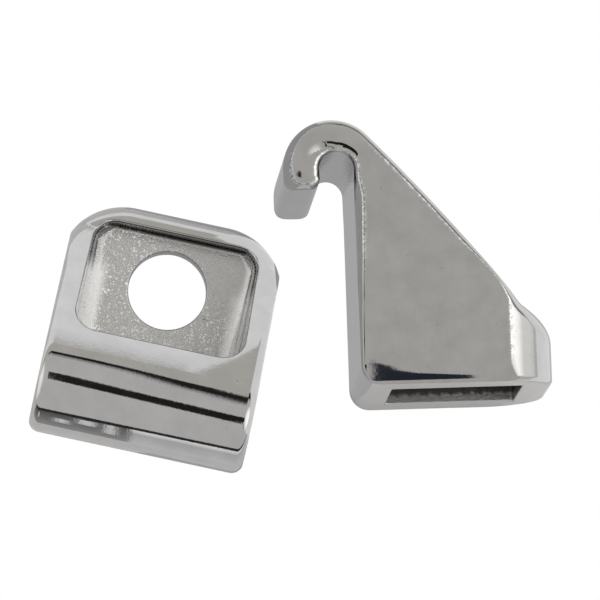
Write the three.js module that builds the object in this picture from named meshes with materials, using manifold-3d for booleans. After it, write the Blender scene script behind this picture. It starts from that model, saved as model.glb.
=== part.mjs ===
// A pair of drum claw hooks, each one a single chrome-plated zinc die casting.
// One claw stands on its foot and the other lies on its side beside it.
// Millimetres, +Z up. A claw's own frame: +X from the hoop wall to the toe, Y across, +Z up to the hook.

import * as THREE from 'three';
import { mergeVertices } from 'three/addons/utils/BufferGeometryUtils.js';
import Module from 'manifold-3d';

const wasm = await Module();
wasm.setup();

// Driving dimensions of one claw
const WIDTH = 19;
const FOOT_LENGTH = 17.1;
const HEIGHT = 23.6;
const EDGE_ROUND = 0.45;

// Hook over the hoop
const HOOP_GAP = 3;
const FINGER_THICKNESS = 3.2;
const FINGER_TIP_HEIGHT = 17.45;
const FINGER_TIP_ROUND = 0.8;
const CROWN_RADIUS = 4.3;
const ARCH_HEIGHT = 19.25;

// Sloping back and the low toe at its end
const SLOPE_TOP_ANGLE = THREE.MathUtils.degToRad(46.5);
const TOE_CREASE = { x: 14.3, z: 6.93 };
const TOE_TOP_ANGLE = THREE.MathUtils.degToRad(28.2);
const SLOPE_FOOT_ANGLE = THREE.MathUtils.degToRad(52.6);
const TOE_ROUND = 1.55;
const TOE_CORNER_RADIUS = 5.6;
const TOE_GRINDING = 0.3;
const WALL_FOOT_ROUND = 1.8;

// Pocket for the rod's head, the rod hole in its floor, and the coring under the foot
const POCKET = { from: 3.6, to: 15.3, width: 14.9, corner: 2, floor: 4 };
const ROD_HOLE = { x: 10.4, radius: 3.5 };
const CORING = { from: 2.9, to: 14.4, width: 11.4, depth: 2 };

// How the two claws lie on the surface
const STANDING = { x: 22.16, y: 87.76, turn: THREE.MathUtils.degToRad(77.97) };
const LYING = { x: 40.8, y: 87.57, turn: THREE.MathUtils.degToRad(1.89) };

const CURVE_STEPS = 10;
const TALL = 60;

function solidFrom(geometry) {
  geometry.deleteAttribute('normal');
  geometry.deleteAttribute('uv');
  const merged = mergeVertices(geometry, 1e-4);
  const mesh = new wasm.Mesh({
    numProp: 3,
    vertProperties: new Float32Array(merged.attributes.position.array),
    triVerts: new Uint32Array(merged.index.array),
  });
  return new wasm.Manifold(mesh);
}

function geometryFrom(solid) {
  const mesh = solid.getMesh();
  const geometry = new THREE.BufferGeometry();
  geometry.setAttribute('position', new THREE.BufferAttribute(mesh.vertProperties, 3));
  geometry.setIndex(new THREE.BufferAttribute(mesh.triVerts, 1));
  geometry.computeVertexNormals();
  return geometry;
}

// Side outline of the casting, drawn in X and Z: foot, toe, slope, crown, finger, arch and hoop wall.
function sideOutline() {
  const crownX = CROWN_RADIUS - HOOP_GAP - FINGER_THICKNESS;
  const crownZ = HEIGHT - CROWN_RADIUS;
  const crownEnd = Math.PI / 2 - SLOPE_TOP_ANGLE;
  const slopeTop = new THREE.Vector2(
    crownX + CROWN_RADIUS * Math.cos(crownEnd),
    crownZ + CROWN_RADIUS * Math.sin(crownEnd),
  );
  const toeArc = Math.PI / 2 - TOE_TOP_ANGLE;
  const toeDrop = (FOOT_LENGTH - TOE_CREASE.x) * Math.tan(TOE_TOP_ANGLE);
  const toeCentreZ = TOE_CREASE.z - toeDrop - TOE_ROUND * Math.tan(toeArc / 2);
  const slopeBend = slopeControlPoint(slopeTop);
  const fingerX = -HOOP_GAP - FINGER_THICKNESS;

  const outline = new THREE.Shape();
  outline.moveTo(WALL_FOOT_ROUND, 0);
  outline.lineTo(FOOT_LENGTH, 0);
  outline.lineTo(FOOT_LENGTH, toeCentreZ);
  outline.absarc(FOOT_LENGTH - TOE_ROUND, toeCentreZ, TOE_ROUND, 0, toeArc, false);
  outline.lineTo(TOE_CREASE.x, TOE_CREASE.z);
  outline.quadraticCurveTo(slopeBend.x, slopeBend.y, slopeTop.x, slopeTop.y);
  outline.absarc(crownX, crownZ, CROWN_RADIUS, crownEnd, Math.PI, false);
  outline.lineTo(fingerX, FINGER_TIP_HEIGHT + FINGER_TIP_ROUND);
  roundCorner(outline, fingerX + FINGER_TIP_ROUND, Math.PI);
  roundCorner(outline, -HOOP_GAP - FINGER_TIP_ROUND, Math.PI * 1.5);
  outline.lineTo(-HOOP_GAP, ARCH_HEIGHT);
  outline.absarc(-HOOP_GAP / 2, ARCH_HEIGHT, HOOP_GAP / 2, Math.PI, 0, true);
  outline.lineTo(0, WALL_FOOT_ROUND);
  outline.absarc(WALL_FOOT_ROUND, WALL_FOOT_ROUND, WALL_FOOT_ROUND, Math.PI, Math.PI * 1.5, false);
  return outline;
}

// The slope is slightly crowned: its tangents at both ends meet at this point.
function slopeControlPoint(slopeTop) {
  const topFall = Math.tan(SLOPE_TOP_ANGLE);
  const footFall = Math.tan(SLOPE_FOOT_ANGLE);
  const rise = slopeTop.y - TOE_CREASE.z + topFall * slopeTop.x - footFall * TOE_CREASE.x;
  const x = rise / (topFall - footFall);
  return new THREE.Vector2(x, slopeTop.y - topFall * (x - slopeTop.x));
}

function roundCorner(outline, centreX, startAngle) {
  const centreZ = FINGER_TIP_HEIGHT + FINGER_TIP_ROUND;
  outline.absarc(centreX, centreZ, FINGER_TIP_ROUND, startAngle, startAngle + Math.PI / 2, false);
}

// The outline carried across the claw's width, with its long edges rounded.
function castingBlank() {
  const geometry = new THREE.ExtrudeGeometry(sideOutline(), {
    depth: WIDTH - 2 * EDGE_ROUND,
    bevelThickness: EDGE_ROUND,
    bevelSize: EDGE_ROUND,
    bevelOffset: -EDGE_ROUND,
    bevelSegments: 3,
    curveSegments: CURVE_STEPS,
  });
  geometry.translate(0, 0, EDGE_ROUND - WIDTH / 2);
  geometry.rotateX(Math.PI / 2);
  return solidFrom(geometry);
}

// An upright block seen from above as a rectangle whose far corners, or all corners, are rounded.
function uprightBlock(x0, x1, width, z0, z1, nearRadius, farRadius) {
  const half = width / 2;
  const plan = new THREE.Shape();
  plan.moveTo(x0 + nearRadius, -half);
  plan.lineTo(x1 - farRadius, -half);
  plan.absarc(x1 - farRadius, farRadius - half, farRadius, -Math.PI / 2, 0, false);
  plan.absarc(x1 - farRadius, half - farRadius, farRadius, 0, Math.PI / 2, false);
  plan.lineTo(x0 + nearRadius, half);
  if (nearRadius > 0) {
    plan.absarc(x0 + nearRadius, half - nearRadius, nearRadius, Math.PI / 2, Math.PI, false);
    plan.absarc(x0 + nearRadius, nearRadius - half, nearRadius, Math.PI, Math.PI * 1.5, false);
  }
  const geometry = new THREE.ExtrudeGeometry(plan, {
    depth: z1 - z0,
    bevelEnabled: false,
    curveSegments: CURVE_STEPS,
  });
  geometry.translate(0, 0, z0);
  return solidFrom(geometry);
}

function rodHole() {
  const geometry = new THREE.CylinderGeometry(ROD_HOLE.radius, ROD_HOLE.radius, TALL, 48);
  geometry.rotateX(Math.PI / 2);
  geometry.translate(ROD_HOLE.x, 0, 0);
  return solidFrom(geometry);
}

function coring() {
  const length = CORING.to - CORING.from;
  const geometry = new THREE.BoxGeometry(length, CORING.width, 2 * CORING.depth);
  geometry.translate(CORING.from + length / 2, 0, 0);
  return solidFrom(geometry);
}

function clawGeometry() {
  // The flanks are ground flat a little below the crest of the toe's round corners, which leaves a crease.
  const planWidth = WIDTH + 2 * TOE_GRINDING;
  const plan = uprightBlock(-TALL, FOOT_LENGTH, planWidth, -1, TALL, 0, TOE_CORNER_RADIUS);
  const pocket = uprightBlock(
    POCKET.from, POCKET.to, POCKET.width, POCKET.floor, TALL, POCKET.corner, POCKET.corner,
  );
  const claw = castingBlank().intersect(plan).subtract(pocket).subtract(rodHole()).subtract(coring());
  return geometryFrom(claw);
}

function chrome() {
  return new THREE.MeshStandardMaterial({ color: 0xc8c8ca, roughness: 0.12, metalness: 1 });
}

function clawMesh(name, geometry) {
  const mesh = new THREE.Mesh(geometry, chrome());
  mesh.name = name;
  return mesh;
}

const geometry = clawGeometry();

const standing = clawMesh('claw_hook_standing', geometry);
standing.position.set(STANDING.x, STANDING.y, 0);
standing.rotation.z = STANDING.turn;

// Tipped onto its side: the hook points away along +Y and one flank rests on the surface.
const tipped = clawMesh('claw_hook_on_side', geometry);
tipped.rotation.x = -Math.PI / 2;
tipped.position.z = WIDTH / 2;
const lying = new THREE.Group();
lying.add(tipped);
lying.position.set(LYING.x, LYING.y, 0);
lying.rotation.z = LYING.turn;

// The pair is centred over the origin, on the surface that both claws rest on.
const pair = new THREE.Group();
pair.add(standing, lying);
const bounds = new THREE.Box3().setFromObject(pair, true);
const middle = bounds.getCenter(new THREE.Vector3());
pair.position.set(-middle.x, -middle.y, 0);

const claws = new THREE.Group();
claws.add(pair);

export default claws;
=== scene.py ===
"""Two drum claw hooks, chrome-plated zinc die castings, one standing on its foot and one on its side.

Each claw's surface is the zero level of a signed distance field in its own frame, in millimetres:
x from the hoop wall to the toe, y across the claw, z up to the hook.
"""

from math import cos, hypot, pi, radians, sin, tan

import bpy
import numpy as np
import openvdb
from mathutils import Euler, Matrix, Vector


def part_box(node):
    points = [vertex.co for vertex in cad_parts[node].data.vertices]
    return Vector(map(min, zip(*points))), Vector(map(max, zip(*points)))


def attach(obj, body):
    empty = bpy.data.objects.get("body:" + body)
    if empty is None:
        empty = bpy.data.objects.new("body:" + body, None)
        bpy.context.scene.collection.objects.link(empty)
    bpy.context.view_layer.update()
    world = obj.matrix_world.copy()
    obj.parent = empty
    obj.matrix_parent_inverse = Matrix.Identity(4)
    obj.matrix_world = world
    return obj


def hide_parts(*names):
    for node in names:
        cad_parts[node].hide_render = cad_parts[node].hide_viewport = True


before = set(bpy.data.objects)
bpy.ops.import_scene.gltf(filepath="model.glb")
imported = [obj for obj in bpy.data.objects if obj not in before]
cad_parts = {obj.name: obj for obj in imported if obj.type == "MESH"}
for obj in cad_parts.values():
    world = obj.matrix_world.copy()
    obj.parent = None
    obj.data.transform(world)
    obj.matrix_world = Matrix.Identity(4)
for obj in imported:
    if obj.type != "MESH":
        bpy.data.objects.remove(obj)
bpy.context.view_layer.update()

MM = 0.001

# Driving dimensions of one claw, as the CAD has them
WIDTH = 19.0
FOOT_LENGTH = 17.1
HEIGHT = 23.6
HOOP_GAP = 3.0
FINGER_THICKNESS = 3.2
FINGER_TIP_HEIGHT = 17.45
FINGER_TIP_ROUND = 0.8
CROWN_RADIUS = 4.3
ARCH_HEIGHT = 19.25
SLOPE_TOP_ANGLE = radians(46.5)
SLOPE_FOOT_ANGLE = radians(52.6)
TOE_CREASE = np.array([14.3, 6.93])
TOE_TOP_ANGLE = radians(28.2)
TOE_CREASE_ROUND = 1.0
TOE_CORNER_RADIUS = 5.6
WALL_FOOT_ROUND = 1.8
POCKET_FROM = 3.6
POCKET_TO = 15.3
POCKET_WIDTH = 14.9
POCKET_CORNER = 2.0
POCKET_FLOOR = 4.0
HOLE_X = 10.4
HOLE_RADIUS = 3.5
CORING_FROM = 2.9
CORING_TO = 14.4
CORING_WIDTH = 11.4
CORING_DEPTH = 2.0

# Edge rounds and draft of the casting, and how far each flank is ground below the crest of its rounds
EDGE_ROUND = 0.85
ARCH_SIDE_ROUND = 0.75
FINGER_SIDE_ROUND = 1.05
FINGER_TIP_SIDE_ROUND = 0.45
FINGER_TIP_BLEND = 1.1
WALL_SIDE_ROUND_TOP = 1.2
WALL_SIDE_ROUND_FOOT = 0.55
FOOT_EDGE_ROUND = 0.55
TOE_EDGE_ROUND = 1.55
GRINDING = 0.09
TOE_GRINDING = 0.295
FLANK_CREASE = 0.05
POCKET_DRAFT = tan(radians(1.0))
POCKET_SIDE_ROUND = 1.0
POCKET_DEEP_ROUND = 1.8
POCKET_FAR_ROUND = 0.35
POCKET_RIM_ROUND = 0.2
HOLE_RIM_ROUND = 0.15
CORING_RIM_ROUND = 0.12
CORING_CORNER = 0.3

# Where polishing has eased a flank down: above the foot, and around the arch
FOOT_ROLL_HEIGHT = 1.856
FOOT_ROLL_RADIUS = 6.0
ARCH_ROLL_REACH = 1.06
ARCH_ROLL_DEPTH = 0.8
ARCH_ROLL_RADIUS = 2.5
ARCH_ROLL_WIDENING = 0.7

# A pinhole on the finger of one flank, painted dark as painted shade rather than cut: its place and its
# half axes
PINHOLE = (-4.8, 18.75)
PINHOLE_SIZE = (0.2, 0.28)

# The claw's mesh: its grid's two corners and step, and the steps that its field's gradient is taken over
MESH_LOW = (-6.6, -9.9, -0.4)
MESH_HIGH = (17.5, 9.9, 24.0)
VOXEL = 0.14
SKIN_STEP = 0.01
NORMAL_STEP = 0.015

# The studio, in millimetres: the upright cards beyond and before the claws, and the flags overhead
FAR_WALL = 91.0
NEAR_WALL = -47.0
CROWN_FLAG_HEIGHT = 124.0
FLANK_FLAG_HEIGHT = 138.0
FLOOR_CARD_HEIGHT = 0.3
CEILING = 0.66
BEIGE = (0.60, 0.58, 0.53)
BLACK = (0.02, 0.018, 0.016)


def unit(angle):
    return np.array([cos(angle), sin(angle)])


def ramp(value, start, end):
    """A smooth step from 0 at start to 1 at end."""
    t = np.clip((value - start) / (end - start), 0.0, 1.0)
    return t * t * (3.0 - 2.0 * t)


def between(start, end, share):
    """A number that share of the way from start to end."""
    return start + (end - start) * share


def line(start, end):
    """A straight stretch of outline, with the solid on its left."""
    start, end = np.array(start, float), np.array(end, float)
    run = end - start
    length = hypot(*run)
    along = run / length

    def distance(x, z):
        dx, dz = x - start[0], z - start[1]
        t = np.clip(dx * along[0] + dz * along[1], 0.0, length)
        gap = np.hypot(dx - t * along[0], dz - t * along[1])
        side = dx * along[1] - dz * along[0]
        return np.where(side < 0.0, -gap, gap)

    return distance


def arc(centre, radius, first, last):
    """A round stretch of outline from angle first to last.

    Where it turns anticlockwise the solid is inside it, and where it turns clockwise outside it.
    """
    middle, half = (first + last) / 2.0, abs(last - first) / 2.0

    def distance(x, z):
        dx, dz = x - centre[0], z - centre[1]
        turn = (np.arctan2(dz, dx) - middle + pi) % (2.0 * pi) - pi
        angle = middle + np.clip(turn, -half, half)
        gap = np.hypot(dx - radius * np.cos(angle), dz - radius * np.sin(angle))
        inside = np.hypot(dx, dz) < radius
        solid = inside if last > first else ~inside & (np.abs(turn) < pi / 2.0)
        return np.where(solid, -gap, gap)

    return distance


def side_outline():
    """The claw's side view without its toe end: foot, toe top, slope, crown, finger, arch and hoop wall."""
    beyond = FOOT_LENGTH + 6.0
    toe_fall = np.array([cos(TOE_TOP_ANGLE), -sin(TOE_TOP_ANGLE)])
    slope_fall = np.array([cos(SLOPE_FOOT_ANGLE), -sin(SLOPE_FOOT_ANGLE)])
    toe_run = (beyond - TOE_CREASE[0]) / toe_fall[0]
    crease_half = (SLOPE_FOOT_ANGLE - TOE_TOP_ANGLE) / 2.0
    crease_reach = TOE_CREASE_ROUND * tan(crease_half)
    crease_top = TOE_CREASE - crease_reach * slope_fall
    crease_end = TOE_CREASE + crease_reach * toe_fall
    crease_centre = crease_end + TOE_CREASE_ROUND * np.array([sin(TOE_TOP_ANGLE), cos(TOE_TOP_ANGLE)])

    crown = np.array([CROWN_RADIUS - HOOP_GAP - FINGER_THICKNESS, HEIGHT - CROWN_RADIUS])
    crown_end = pi / 2.0 - SLOPE_TOP_ANGLE
    slope_start = crown + CROWN_RADIUS * unit(crown_end)
    chord = hypot(*(crease_top - slope_start))
    slope_radius = chord / 2.0 / sin((SLOPE_FOOT_ANGLE - SLOPE_TOP_ANGLE) / 2.0)
    slope_centre = slope_start - slope_radius * unit(crown_end)
    slope_reach = crease_top - slope_centre
    slope_end = np.arctan2(slope_reach[1], slope_reach[0])

    finger_out = -HOOP_GAP - FINGER_THICKNESS
    tip_z = FINGER_TIP_HEIGHT + FINGER_TIP_ROUND
    tip_out = (finger_out + FINGER_TIP_ROUND, tip_z)
    tip_in = (-HOOP_GAP - FINGER_TIP_ROUND, tip_z)
    return [
        line((WALL_FOOT_ROUND, 0), (beyond, 0)),
        line((beyond, 0), TOE_CREASE + toe_run * toe_fall),
        line(TOE_CREASE + toe_run * toe_fall, crease_end),
        arc(crease_centre, TOE_CREASE_ROUND, -pi / 2 - TOE_TOP_ANGLE, -pi / 2 - SLOPE_FOOT_ANGLE),
        arc(slope_centre, slope_radius, slope_end, crown_end),
        arc(crown, CROWN_RADIUS, crown_end, pi),
        line((finger_out, crown[1]), (finger_out, tip_z)),
        arc(tip_out, FINGER_TIP_ROUND, pi, 1.5 * pi),
        line((tip_out[0], FINGER_TIP_HEIGHT), (tip_in[0], FINGER_TIP_HEIGHT)),
        arc(tip_in, FINGER_TIP_ROUND, 1.5 * pi, 2.0 * pi),
        line((-HOOP_GAP, tip_z), (-HOOP_GAP, ARCH_HEIGHT)),
        arc((-HOOP_GAP / 2, ARCH_HEIGHT), HOOP_GAP / 2, pi, 0.0),
        line((0, ARCH_HEIGHT), (0, WALL_FOOT_ROUND)),
        arc((WALL_FOOT_ROUND, WALL_FOOT_ROUND), WALL_FOOT_ROUND, pi, 1.5 * pi),
    ]


OUTLINE = side_outline()


def side_distance(x, z):
    """Signed distance to the side outline, negative inside: the nearest stretch decides."""
    best = OUTLINE[0](x, z)
    for stretch in OUTLINE[1:]:
        other = stretch(x, z)
        best = np.where(np.abs(other) < np.abs(best), other, best)
    return best


def rounded_rectangle(x, y, half_x, half_y, radius):
    """Signed distance to a rectangle about the origin."""
    qx = np.abs(x) - half_x + radius
    qy = np.abs(y) - half_y + radius
    outside = np.hypot(np.maximum(qx, 0.0), np.maximum(qy, 0.0))
    return outside + np.minimum(np.maximum(qx, qy), 0.0) - radius


def toe_plan(x, y):
    """Seen from above: the width before grinding, closed at the toe by two large round corners."""
    far_back = 30.0
    half_length = (FOOT_LENGTH + far_back) / 2.0
    half_width = WIDTH / 2.0 + between(GRINDING, TOE_GRINDING, ramp(x, 9.0, 12.0))
    return rounded_rectangle(x - FOOT_LENGTH + half_length, y, half_length, half_width, TOE_CORNER_RADIUS)


def both(a, b, radius):
    """Intersection of two solids with its edge rounded to a radius."""
    corner = np.hypot(np.maximum(a + radius, 0.0), np.maximum(b + radius, 0.0))
    return np.minimum(np.maximum(a, b), -radius) + corner


def soft_maximum(a, b, blend):
    """The larger of two depths, eased where they are nearly equal."""
    share = np.maximum(blend - np.abs(a - b), 0.0) / blend
    return np.maximum(a, b) + share ** 2 * blend / 4.0


def finger_tip(x, z):
    """Depth inside the finger below the arch, with round shoulders at every depth."""
    sides = soft_maximum(x + HOOP_GAP, -HOOP_GAP - FINGER_THICKNESS - x, FINGER_TIP_BLEND)
    return soft_maximum(sides, FINGER_TIP_HEIGHT - z, FINGER_TIP_BLEND)


def polished_side(x, z):
    """The side outline as polished: the finger's tip swaps its sharp inner corners for soft ones."""
    at_tip = ramp(z, 19.6, 18.9) * ramp(x, -1.4, -1.8)
    return between(side_distance(x, z), finger_tip(x, z), at_tip)


def edge_round(x, z):
    """Radius of the casting's long edges, from place to place."""
    at_finger = ramp(z, 22.4, 18.8) * ramp(x, -4.0, -5.2)
    at_tip = ramp(z, 18.8, 18.2) * ramp(x, -5.7, -4.4) * ramp(x, -1.6, -2.4)
    at_wall = ramp(z, 18.6, 16.6) * ramp(x, 2.2, 1.2)
    at_arch = ramp(np.hypot(x + HOOP_GAP / 2, z - ARCH_HEIGHT), 3.4, 2.4)
    at_toe = ramp(x, FOOT_LENGTH - 4.0, FOOT_LENGTH - 0.8)
    at_foot = ramp(z, 3.2, 2.2)
    wall_round = between(WALL_SIDE_ROUND_FOOT, WALL_SIDE_ROUND_TOP, ramp(z, 2.0, 17.0))
    round_here = between(EDGE_ROUND, ARCH_SIDE_ROUND, at_arch)
    round_here = between(round_here, FINGER_SIDE_ROUND, at_finger)
    round_here = between(round_here, FINGER_TIP_SIDE_ROUND, at_tip)
    round_here = between(round_here, wall_round, at_wall)
    round_here = between(round_here, TOE_EDGE_ROUND, at_toe)
    return between(round_here, FOOT_EDGE_ROUND, at_foot)


def roll_off(x, z):
    """How far polishing has eased a flank down: along the foot edge and over the arch."""
    to_foot = np.maximum(FOOT_ROLL_HEIGHT - z, 0.0) ** 2 / (2.0 * FOOT_ROLL_RADIUS)
    across, up = x + HOOP_GAP / 2, z - ARCH_HEIGHT
    turn = np.arctan2(across, up)
    arch_edge = HOOP_GAP / 2 + ARCH_ROLL_WIDENING * np.maximum(-turn, 0.0)
    into_roll = np.clip(ARCH_ROLL_REACH - (np.hypot(across, up) - arch_edge), 0.0, ARCH_ROLL_DEPTH)
    to_arch = into_roll ** 2 / (2.0 * ARCH_ROLL_RADIUS) * ramp(turn, -1.35, -0.55) * ramp(z, 19.6, 20.6)
    return to_foot + to_arch


def flank(x, y, z):
    """Distance to the nearer flank, negative inside."""
    return np.abs(y) - WIDTH / 2.0 + roll_off(x, z)


def polished_blank(x, y, z):
    """The casting with neither its flanks ground flat nor its pocket, hole and coring."""
    return both(polished_side(x, z), toe_plan(x, y), edge_round(x, z))


def ground_blank(x, y, z):
    return both(polished_blank(x, y, z), flank(x, y, z), FLANK_CREASE)


def pocket(x, y, z):
    """The deep pocket in the slope, with a tighter floor round along the middle of its toe wall."""
    middle = (POCKET_FROM + POCKET_TO) / 2.0
    half_length = (POCKET_TO - POCKET_FROM) / 2.0
    walls = rounded_rectangle(x - middle, y, half_length, POCKET_WIDTH / 2.0, POCKET_CORNER)
    at_far_wall = ramp(x, POCKET_TO - 2.2, POCKET_TO - 1.2) * ramp(np.abs(y), 6.6, 5.6)
    side_round = between(POCKET_SIDE_ROUND, POCKET_DEEP_ROUND, ramp(x, POCKET_TO, POCKET_FROM))
    floor_round = between(side_round, POCKET_FAR_ROUND, at_far_wall)
    return both(walls - POCKET_DRAFT * (z - 10.0), POCKET_FLOOR - z, floor_round)


def rod_hole(x, y, z):
    return np.hypot(x - HOLE_X, y) - HOLE_RADIUS + 0.0 * z


def coring(x, y, z):
    middle = (CORING_FROM + CORING_TO) / 2.0
    half_length = (CORING_TO - CORING_FROM) / 2.0
    walls = rounded_rectangle(x - middle, y, half_length, CORING_WIDTH / 2.0, CORING_CORNER)
    return both(walls, z - CORING_DEPTH, CORING_CORNER)


def claw(x, y, z):
    """Signed distance to the whole casting."""
    solid = both(ground_blank(x, y, z), -pocket(x, y, z), POCKET_RIM_ROUND)
    solid = both(solid, -rod_hole(x, y, z), HOLE_RIM_ROUND)
    return both(solid, -coring(x, y, z), CORING_RIM_ROUND)


def slope_of(field, points, step):
    """The field's gradient at each point."""
    x, y, z = points.T
    return np.stack([
        field(x + step, y, z) - field(x - step, y, z),
        field(x, y + step, z) - field(x, y - step, z),
        field(x, y, z + step) - field(x, y, z - step),
    ], axis=1) / (2.0 * step)


def skin(field, low, high, voxel):
    """Points and four-sided faces of a field's zero level, with each point moved exactly onto it."""
    counts = np.ceil((np.array(high) - low) / voxel).astype(int) + 1
    x, y, z = (start + voxel * np.arange(count) for start, count in zip(low, counts))
    values = field(x[:, None, None], y[None, :, None], z[None, None, :])
    grid = openvdb.FloatGrid(background=float(voxel * 3))
    grid.copyFromArray(np.ascontiguousarray(np.broadcast_to(values, counts), dtype=np.float32))
    points, quads = grid.convertToQuads()
    points = np.array(low) + voxel * points.astype(float)
    for _ in range(4):
        slope = slope_of(field, points, SKIN_STEP)
        steps = field(*points.T) / np.maximum((slope ** 2).sum(axis=1), 0.05)
        points = points - np.clip(steps, -voxel, voxel)[:, None] * slope
    return points, quads


def claw_mesh():
    """The casting in its own frame, with smooth normals and an amount of each finish at every point."""
    points, quads = skin(claw, MESH_LOW, MESH_HIGH, VOXEL)
    mesh = bpy.data.meshes.new("claw_casting")
    mesh.from_pydata(points * MM, [], quads.tolist())
    normals = slope_of(claw, points, NORMAL_STEP)
    normals /= np.linalg.norm(normals, axis=1)[:, None]
    mesh.validate()
    mesh.update()
    first = mesh.polygons[0]
    if first.normal.dot(Vector(normals[first.vertices[0]])) < 0.0:
        mesh.flip_normals()
    mesh.shade_smooth()
    mesh.normals_split_custom_set_from_vertices(normals.tolist())
    for name, amounts in zones(*points.T).items():
        paint(mesh, name, amounts)
    return mesh


def zones(x, y, z):
    """Where the casting is left as cast or ground, and where light and shade are painted into its colour:
    glints as white specks, a highlight on the pocket's side fillets, glints along the flank creases, and
    shade in the far crevice, the hole, the deep coring and a pinhole.
    """
    from_pocket = pocket(x, y, z)
    from_flank = np.abs(flank(x, y, z))
    in_pocket = ramp(from_pocket, 0.12, 0.0) * ramp(z, POCKET_FLOOR + 0.45, POCKET_FLOOR + 0.05)
    in_coring = ramp(coring(x, y, z), 0.12, 0.0)
    in_arch = ramp(np.hypot(x + HOOP_GAP / 2, z - ARCH_HEIGHT), 1.75, 1.55) * ramp(z, 18.6, 19.6)
    to_corner = (POCKET_TO - x) / (POCKET_TO - POCKET_FROM) + y / POCKET_WIDTH + 0.5

    # Painted highlight on the pocket's side fillets toward the deep end, at full strength on the +y side
    # and weaker on the other
    pocket_sides = ramp(np.abs(y), 5.3, 6.2) * ramp(x, 12.4, 10.4) * ramp(z, 8.5, 6.0)
    highlight_strength_by_side = np.where(y > 0.0, 1.0, 0.45)

    # Painted glints along the creases where the ground flanks meet their rounds, faint on the foot, heel
    # and crown
    at_crease = ramp(np.abs(polished_blank(x, y, z)), 0.085, 0.03) * ramp(from_flank, 0.1, 0.02)
    off_foot = ramp(z, 1.2, 2.4)
    off_heel = np.maximum(ramp(x, 1.0, 2.5), ramp(z, 8.0, 13.0))
    faint_on_crown = 1.0 - 0.8 * ramp(z, 20.4, 21.4)

    # Painted shade: the pocket's far wall, the rod hole's wall, the coring deeper in and a pinhole on one
    # flank are darkened in colour where they lie in shade
    far_wall = ramp(x, POCKET_TO - 0.45, POCKET_TO - 0.1) * ramp(from_pocket, 0.1, 0.02)
    in_hole = ramp(rod_hole(x, y, z), 0.1, 0.02) * ramp(z, POCKET_FLOOR - 0.05, POCKET_FLOOR - 0.3)
    ragged = 0.10 * np.sin(5.1 * x) + 0.07 * np.sin(11.7 * x + 3.0 * y)
    deep_coring = in_coring * ramp(z + ragged, 0.75, 1.0)
    pin_x = (x - PINHOLE[0]) / PINHOLE_SIZE[0]
    pin_z = (z - PINHOLE[1]) / PINHOLE_SIZE[1]
    pinhole = ramp(np.hypot(pin_x, pin_z), 1.2, 0.85) * ramp(y, -9.0, -9.2)
    return {
        "cast": np.maximum.reduce([in_pocket, in_coring, 0.45 * in_arch]),
        "ground": ramp(from_flank, 0.12, 0.02),
        "sparkle": in_pocket * ramp(to_corner, 0.35, 1.05),
        "painted_fillet_highlight": ramp(from_pocket, 0.12, 0.0) * pocket_sides * highlight_strength_by_side,
        "painted_crease_glint": at_crease * off_foot * off_heel * faint_on_crown,
        "painted_shade": np.maximum.reduce([far_wall, 0.75 * in_hole, 0.8 * deep_coring, pinhole]),
    }


def paint(mesh, name, amounts):
    """Keeps an amount per point, for the material to read."""
    layer = mesh.attributes.new(name, "FLOAT", "POINT")
    layer.data.foreach_set("value", amounts.astype(np.float32))


def principled(name):
    material = bpy.data.materials.new(name)
    material.use_nodes = True
    return material, material.node_tree, material.node_tree.nodes["Principled BSDF"]


def feed(tree, socket, value):
    """Links a socket to another node's output, or sets it to a plain value."""
    if isinstance(value, bpy.types.NodeSocket):
        tree.links.new(value, socket)
    else:
        socket.default_value = value


def texture(tree, kind, scale):
    """A solid texture in the claw's own frame; scale is in features per millimetre."""
    where = tree.nodes.new("ShaderNodeTexCoord")
    node = tree.nodes.new(kind)
    node.inputs["Scale"].default_value = scale / MM
    tree.links.new(where.outputs["Object"], node.inputs["Vector"])
    return node


def noise(tree, scale, detail, roughness=0.5):
    node = texture(tree, "ShaderNodeTexNoise", scale)
    node.inputs["Detail"].default_value = detail
    node.inputs["Roughness"].default_value = roughness
    return node.outputs["Fac"]


def scattered(tree, scale):
    """Small specks of uneven size strewn over the surface."""
    cells = texture(tree, "ShaderNodeTexVoronoi", scale)
    size = tree.nodes.new("ShaderNodeSeparateColor")
    tree.links.new(cells.outputs["Color"], size.inputs["Color"])
    radius = remap(tree, size.outputs["Red"], 0.25, 1.0, 0.0, 0.52)
    reach = arithmetic(tree, "SUBTRACT", radius, cells.outputs["Distance"])
    return remap(tree, reach, 0.0, 0.06, 0.0, 1.0)


def remap(tree, value, from_low, from_high, to_low, to_high):
    node = tree.nodes.new("ShaderNodeMapRange")
    tree.links.new(value, node.inputs["Value"])
    node.inputs["From Min"].default_value = from_low
    node.inputs["From Max"].default_value = from_high
    node.inputs["To Min"].default_value = to_low
    node.inputs["To Max"].default_value = to_high
    return node.outputs["Result"]


def arithmetic(tree, operation, first, second):
    node = tree.nodes.new("ShaderNodeMath")
    node.operation = operation
    feed(tree, node.inputs[0], first)
    feed(tree, node.inputs[1], second)
    return node.outputs["Value"]


def mix(tree, share, low, high):
    """A number that goes from low to high with a share."""
    node = tree.nodes.new("ShaderNodeMix")
    feed(tree, node.inputs["Factor"], share)
    feed(tree, node.inputs["A"], low)
    feed(tree, node.inputs["B"], high)
    return node.outputs["Result"]


def blend(tree, share, low, high):
    """A colour that goes from low to high with a share."""
    node = tree.nodes.new("ShaderNodeMix")
    node.data_type = "RGBA"
    feed(tree, node.inputs["Factor"], share)
    feed(tree, node.inputs[6], low)
    feed(tree, node.inputs[7], high)
    return node.outputs[2]


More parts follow.
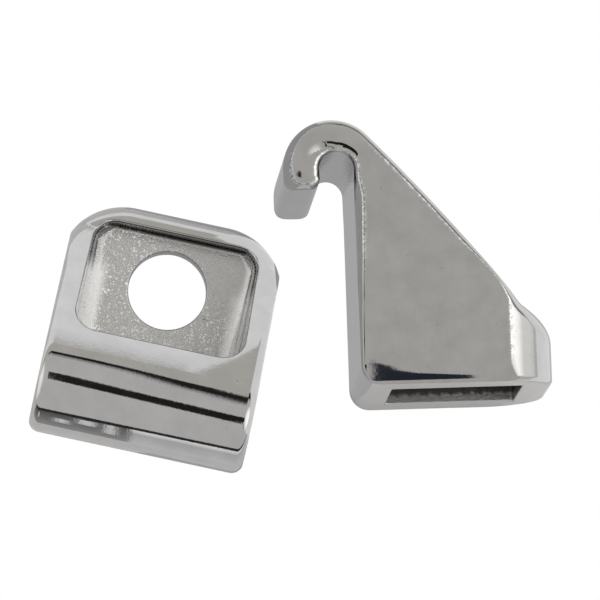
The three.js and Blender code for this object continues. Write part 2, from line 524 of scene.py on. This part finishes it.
def colours(tree, value, stops):
    """A colour ramp over a value; stops are (position, colour)."""
    node = tree.nodes.new("ShaderNodeValToRGB")
    elements = node.color_ramp.elements
    while len(elements) < len(stops):
        elements.new(0.5)
    for element, (position, colour) in zip(elements, stops):
        element.position = position
        element.color = colour
    tree.links.new(value, node.inputs["Fac"])
    return node.outputs["Color"]


def zone(tree, name):
    node = tree.nodes.new("ShaderNodeAttribute")
    node.attribute_name = name
    return node.outputs["Fac"]


def bump(tree, height, depth, strength):
    """Surface relief; depth is in millimetres."""
    node = tree.nodes.new("ShaderNodeBump")
    node.inputs["Distance"].default_value = depth * MM
    feed(tree, node.inputs["Strength"], strength)
    tree.links.new(height, node.inputs["Height"])
    return node


def chrome_colour(tree, mottle, sand, glints):
    """Greyer on the ground flanks, sandy where left as cast and darker at pits; white at the painted glints
    and fillet highlight, bluish white at the painted crease glints, and dark at the painted shade.
    """
    # Painted highlight: bluish-white specks in the base colour along the flank creases
    crease_glint_grain = remap(tree, noise(tree, 5.0, 3.0, 0.6), 0.45, 0.62, 0.0, 1.0)
    crease_glint_share = arithmetic(tree, "MULTIPLY", zone(tree, "painted_crease_glint"), crease_glint_grain)
    pits = remap(tree, noise(tree, 1.7, 6.0, 0.7), 0.66, 0.72, 0.0, 0.7)
    plate = colours(tree, mottle, [
        (0.3, (0.53, 0.53, 0.535, 1)),
        (0.7, (0.59, 0.59, 0.595, 1)),
    ])
    ground_plate = colours(tree, mottle, [
        (0.3, (0.455, 0.45, 0.445, 1)),
        (0.7, (0.53, 0.525, 0.52, 1)),
    ])
    sandy_plate = colours(tree, sand, [
        (0.29, (0.12, 0.115, 0.11, 1)),
        (0.36, (0.53, 0.53, 0.525, 1)),
        (0.7, (0.57, 0.57, 0.57, 1)),
    ])
    colour = blend(tree, zone(tree, "ground"), plate, ground_plate)
    colour = blend(tree, zone(tree, "cast"), colour, sandy_plate)
    # Painted glints and the painted fillet highlight: a white base colour
    colour = blend(tree, glints, colour, (1.0, 1.0, 1.0, 1))
    colour = blend(tree, crease_glint_share, colour, (0.93, 0.97, 1.0, 1))
    colour = blend(tree, pits, colour, (0.16, 0.155, 0.15, 1))
    # Painted shade: near black in the far crevice, the hole, the deep coring and the pinhole
    return blend(tree, zone(tree, "painted_shade"), colour, (0.035, 0.032, 0.03, 1))


def cast_glints(tree):
    """Painted glints: white specks strewn over the pocket's floor, and a grainy painted highlight along its
    side fillets.
    """
    # Painted glints: white specks, thickest toward the pocket's near corner
    patches = remap(tree, noise(tree, 0.35, 2.0), 0.40, 0.52, 0.45, 1.0)
    crowd = arithmetic(tree, "MULTIPLY", zone(tree, "sparkle"), patches)
    small_and_large = mix(tree, scattered(tree, 5.5), scattered(tree, 3.3), 1.0)
    specks = arithmetic(tree, "MULTIPLY", small_and_large, crowd)
    # Grain that breaks up the painted fillet highlight
    highlight_grain = remap(tree, noise(tree, 4.0, 4.0, 0.7), 0.32, 0.46, 0.6, 1.0)
    return mix(tree, arithmetic(tree, "MULTIPLY", zone(tree, "painted_fillet_highlight"), highlight_grain), specks, 1.0)


def chrome():
    """Bright chrome plate: mirror-like where polished and ground, grainy where left as cast."""
    material, tree, shader = principled("chrome_plate")
    cast = zone(tree, "cast")
    ground = zone(tree, "ground")
    mottle = noise(tree, 0.5, 5.0, 0.6)
    peel = noise(tree, 3.0, 4.0, 0.65)
    sand = noise(tree, 4.2, 6.0, 0.75)
    glints = cast_glints(tree)
    tree.links.new(chrome_colour(tree, mottle, sand, glints), shader.inputs["Base Color"])
    # Where glints are painted the plate turns non-metallic, so the white shows as a bright speck
    tree.links.new(mix(tree, glints, 1.0, 0.0), shader.inputs["Metallic"])

    polished = remap(tree, mottle, 0.3, 0.7, 0.03, 0.07)
    hazy = remap(tree, mottle, 0.3, 0.7, 0.02, 0.035)
    rough = mix(tree, cast, mix(tree, ground, polished, hazy), 0.18)
    tree.links.new(rough, shader.inputs["Roughness"])

    peel_strength = mix(tree, cast, mix(tree, ground, 0.45, 0.1), 0.0)
    peel_relief = bump(tree, peel, 0.006, peel_strength)
    sand_relief = bump(tree, sand, 0.035, cast)
    tree.links.new(peel_relief.outputs["Normal"], sand_relief.inputs["Normal"])
    tree.links.new(sand_relief.outputs["Normal"], shader.inputs["Normal"])
    return material


def place(mesh, node, body, turn, on_side):
    """Puts a claw where its CAD node is: tipped or not, turned, and centred in the node's box."""
    piece = bpy.data.objects.new(node + "_casting", mesh)
    bpy.context.collection.objects.link(piece)
    tip = Matrix.Rotation(-pi / 2, 4, "X") if on_side else Matrix.Identity(4)
    rotation = Matrix.Rotation(turn, 4, "Z") @ tip
    corners = np.array([rotation @ v.co for v in mesh.vertices])
    low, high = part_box(node)
    shift = (np.array(low) + np.array(high)) / 2 - (corners.min(axis=0) + corners.max(axis=0)) / 2
    piece.matrix_world = Matrix.Translation(shift) @ rotation
    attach(piece, body)
    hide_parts(node)
    return piece


casting = claw_mesh()
casting.materials.append(chrome())
place(casting, "claw_hook_standing", "standing_claw", radians(77.97), False)
place(casting, "claw_hook_on_side", "side_claw", radians(1.89), True)


def glowing(name, strength):
    """Stage material that glows with its sheet's own corner tones."""
    material, tree, shader = principled(name)
    tone = tree.nodes.new("ShaderNodeVertexColor")
    tone.layer_name = "tone"
    shader.inputs["Base Color"].default_value = (0, 0, 0, 1)
    shader.inputs["Roughness"].default_value = 1.0
    shader.inputs["Specular IOR Level"].default_value = 0.0
    shader.inputs["Emission Strength"].default_value = strength
    tree.links.new(tone.outputs["Color"], shader.inputs["Emission Color"])
    return material


def card(name, outline, tones):
    """A flat studio card that only the chrome sees; outline in millimetres, one tone per corner."""
    mesh = bpy.data.meshes.new(name)
    mesh.from_pydata([Vector(corner) * MM for corner in outline], [], [tuple(range(len(outline)))])
    layer = mesh.color_attributes.new("tone", "FLOAT_COLOR", "POINT")
    for point, tone in zip(layer.data, tones):
        point.color = (*tone, 1)
    mesh.materials.append(glowing(name, 1.0))
    board = bpy.data.objects.new(name, mesh)
    bpy.context.collection.objects.link(board)
    board.visible_camera = False
    board.visible_diffuse = False
    board.visible_shadow = False
    return board


def upright(name, y, left, right, low_tone, high_tone):
    """An upright card across the view; each end is an (x, low, high)."""
    outline = [
        (left[0], y, left[1]),
        (right[0], y, right[1]),
        (right[0], y, right[2]),
        (left[0], y, left[2]),
    ]
    return card(name, outline, (low_tone, low_tone, high_tone, high_tone))


def flat(name, height, outline, tone):
    """A card lying level at a height, in one tone; outline is (x, y) corners."""
    return card(name, [(x, y, height) for x, y in outline], [tone] * len(outline))


def grey(level):
    return (level, level, level)


def table():
    """The pale table: one sheet shows as the even background, its twin below is what the chrome mirrors."""
    for name, height, glow, base in (
        ("table_top", -0.00001, 1.0, 0.0),
        ("table_lit", -0.00002, 0.0, 0.68),
    ):
        bpy.ops.mesh.primitive_plane_add(size=4.0, location=(0, 0, height))
        sheet = bpy.context.object
        sheet.name = name
        material, tree, shader = principled(name)
        shader.inputs["Base Color"].default_value = (base, base, base, 1)
        shader.inputs["Roughness"].default_value = 1.0
        shader.inputs["Specular IOR Level"].default_value = 0.0
        shader.inputs["Emission Color"].default_value = (1, 1, 1, 1)
        shader.inputs["Emission Strength"].default_value = glow
        sheet.data.materials.append(material)
        seen = name == "table_top"
        sheet.visible_camera = seen
        sheet.visible_glossy = not seen
        sheet.visible_diffuse = not seen
        sheet.visible_shadow = False


def far_side():
    """Beyond the claws: a bright sill, a beige wall, and a dark flag whose edge rises to a peak."""
    upright("far_sill", FAR_WALL + 1.0, (-300, 0, 3), (300, 0, 3), grey(1.0), grey(0.8))
    for left, right, top in ((-300, 0, 50), (0, 24, 96), (24, 300, 50)):
        upright("beige_wall", FAR_WALL + 1.0, (left, 3, 50), (right, 3, top), BEIGE, BEIGE)
    flag = [(-60, 50, 54), (-19, 50, 59), (3, 51, 66), (7, 55, 72), (9, 59, 83), (12.5, 67, 103)]
    flag += [(16, 70, 110), (20, 86, 138), (22, 50, 138), (26, 50, 88), (300, 50, 88)]
    for start, end in zip(flag, flag[1:]):
        upright("far_flag", FAR_WALL, start, end, BLACK, BLACK)
        above = [(x, high, high + 0.22 * high) for x, _, high in (start, end)]
        upright("far_haze", FAR_WALL, *above, grey(0.25), grey(0.55))


def floor_cards():
    """Tones that the claws' steep faces mirror from the table around them."""
    for name, left, right, near, far, level in (
        ("far_floor", -200, 200, 24, FAR_WALL, 1.0),
        ("right_floor", 32, 160, -80, 24, 1.0),
        ("slot_floor", -14, 5.9, -22, 13.6, 0.42),
    ):
        outline = [(left, near), (right, near), (right, far), (left, far)]
        flat(name, FLOOR_CARD_HEIGHT, outline, grey(level))


def screen():
    """A thin two-sided screen between the claws, so that neither mirrors the other."""
    path = [(-3.78, -13.0), (-0.95, 0.3), (-1.05, 8.0), (-1.05, 30.0)]
    for shift, low_tone, high_tone in ((0.0, grey(0.98), BEIGE), (0.1, grey(0.42), grey(0.42))):
        for (x0, y0), (x1, y1) in zip(path, path[1:]):
            upper_tone = high_tone if y0 > 0.0 else low_tone
            for low, high, tone in ((0.2, 15.5, low_tone), (15.5, 24.0, upper_tone)):
                start, end = (x0 + shift, y0), (x1 + shift, y1)
                outline = [(*start, low), (*end, low), (*end, high), (*start, high)]
                card("screen", outline, [tone] * 4)


def near_side():
    """Before the claws: a wall, dark at the left and light at the right, a dark rail and a few patches."""
    upright("near_wall_dark", NEAR_WALL, (-80, 0, 31), (-21.5, 0, 31), grey(0.4), grey(0.12))
    upright("near_wall_light", NEAR_WALL, (-21.5, 0, 25), (60, 0, 25), grey(0.75), grey(0.6))
    upright("near_wall_top", NEAR_WALL, (-21.5, 25, 31), (60, 25, 31), grey(0.75), grey(1.1))
    upright("near_flag", NEAR_WALL, (-80, 31, 36), (60, 31, 36), grey(0.02), grey(0.04))
    for left, right, low, high in (
        (-34.0, -31.4, 17, 27),
        (-28.5, -27.3, 14, 22),
        (-26.4, -24.8, 20, 29),
        (-23.8, -22.8, 12, 30),
    ):
        ends = (left, low, high), (right, low, high)
        upright("near_patch", NEAR_WALL + 0.5, *ends, grey(0.8), grey(0.9))


def overhead():
    """Dark flags above: one over the standing claw's crown, two over the lying claw's flank and hook."""
    crown_flag = [(-22, -2.5), (-5, -25), (0.5, -4), (-2, 7), (-8, 16), (-12.7, 27), (-17, 27)]
    flat("crown_flag", CROWN_FLAG_HEIGHT, crown_flag, BLACK)
    flank_flag = [(14, 10), (15, 8), (16, 0.5), (17.6, -17), (20, -28.5)]
    flank_flag += [(26.3, -41), (27.2, -54), (16.5, -54)]
    flat("flank_flag", FLANK_FLAG_HEIGHT, flank_flag, (0.03, 0.035, 0.05))
    hook_flag = [(-6, -16), (12.8, -16), (12.8, 6), (-6, 6)]
    flat("hook_flag", FLANK_FLAG_HEIGHT, hook_flag, grey(0.02))


def studio():
    """The table, the cards whose reflections draw the lines in the chrome, and a light over it all."""
    table()
    far_side()
    floor_cards()
    screen()
    near_side()
    overhead()
    light = area_light("table_light", (0.1, -0.1, 0.9), (0, 0, 0), (1.2, 1.2), 2.9)
    light.visible_glossy = False


def side_window(tree, direction, edge, heart, strength):
    """A soft bright patch of the room around one direction."""
    nodes, links = tree.nodes, tree.links
    position = nodes["Texture Coordinate"].outputs["Generated"]
    toward = nodes.new("ShaderNodeVectorMath")
    toward.operation = "DOT_PRODUCT"
    toward.inputs[1].default_value = direction
    links.new(position, toward.inputs[0])
    fade = nodes.new("ShaderNodeMapRange")
    fade.interpolation_type = "SMOOTHSTEP"
    fade.inputs["From Min"].default_value = cos(edge)
    fade.inputs["From Max"].default_value = cos(heart)
    fade.inputs["To Max"].default_value = strength
    links.new(toward.outputs["Value"], fade.inputs["Value"])
    return fade.outputs["Result"]


def room():
    """A warm even ceiling with three soft windows."""
    world = bpy.data.worlds.new("studio")
    world.use_nodes = True
    tree = world.node_tree
    tree.nodes.new("ShaderNodeTexCoord")
    brightness = CEILING
    for direction, edge, heart, strength in (
        (heading(3, 36), 31, 4, 0.95),
        (heading(2, 68), 32, 4, 0.38),
        (heading(170, 70), 38, 10, 0.6),
    ):
        window = side_window(tree, direction, radians(edge), radians(heart), strength)
        brightness = arithmetic(tree, "ADD", brightness, window)
    background = tree.nodes["Background"]
    background.inputs["Color"].default_value = (1.0, 0.98, 0.945, 1)
    tree.links.new(brightness, background.inputs["Strength"])
    bpy.context.scene.world = world


def heading(azimuth, from_up):
    """Unit vector at an azimuth from +X and an angle from straight up, both in degrees."""
    a, t = radians(azimuth), radians(from_up)
    return (cos(a) * sin(t), sin(a) * sin(t), cos(t))


def area_light(name, position, target, size, power):
    data = bpy.data.lights.new(name, "AREA")
    data.shape = "RECTANGLE"
    data.size, data.size_y = size
    data.energy = power
    light = bpy.data.objects.new(name, data)
    bpy.context.collection.objects.link(light)
    light.location = position
    aim = Vector(target) - Vector(position)
    light.rotation_euler = aim.to_track_quat("-Z", "Y").to_euler()
    return light


def camera():
    """Far above the claws, a little in front and to the left, with a long lens."""
    data = bpy.data.cameras.new("camera")
    data.lens = 480.0
    data.sensor_width = 36.0
    data.clip_end = 20.0
    viewer = bpy.data.objects.new("camera", data)
    bpy.context.collection.objects.link(viewer)
    viewer.location = (-0.03478, -0.09545, 0.71132)
    viewer.rotation_euler = Euler((radians(7.817), radians(-2.900), radians(-0.198)))
    bpy.context.scene.camera = viewer


camera()
studio()
room()
bpy.context.scene.view_settings.view_transform = "Standard"
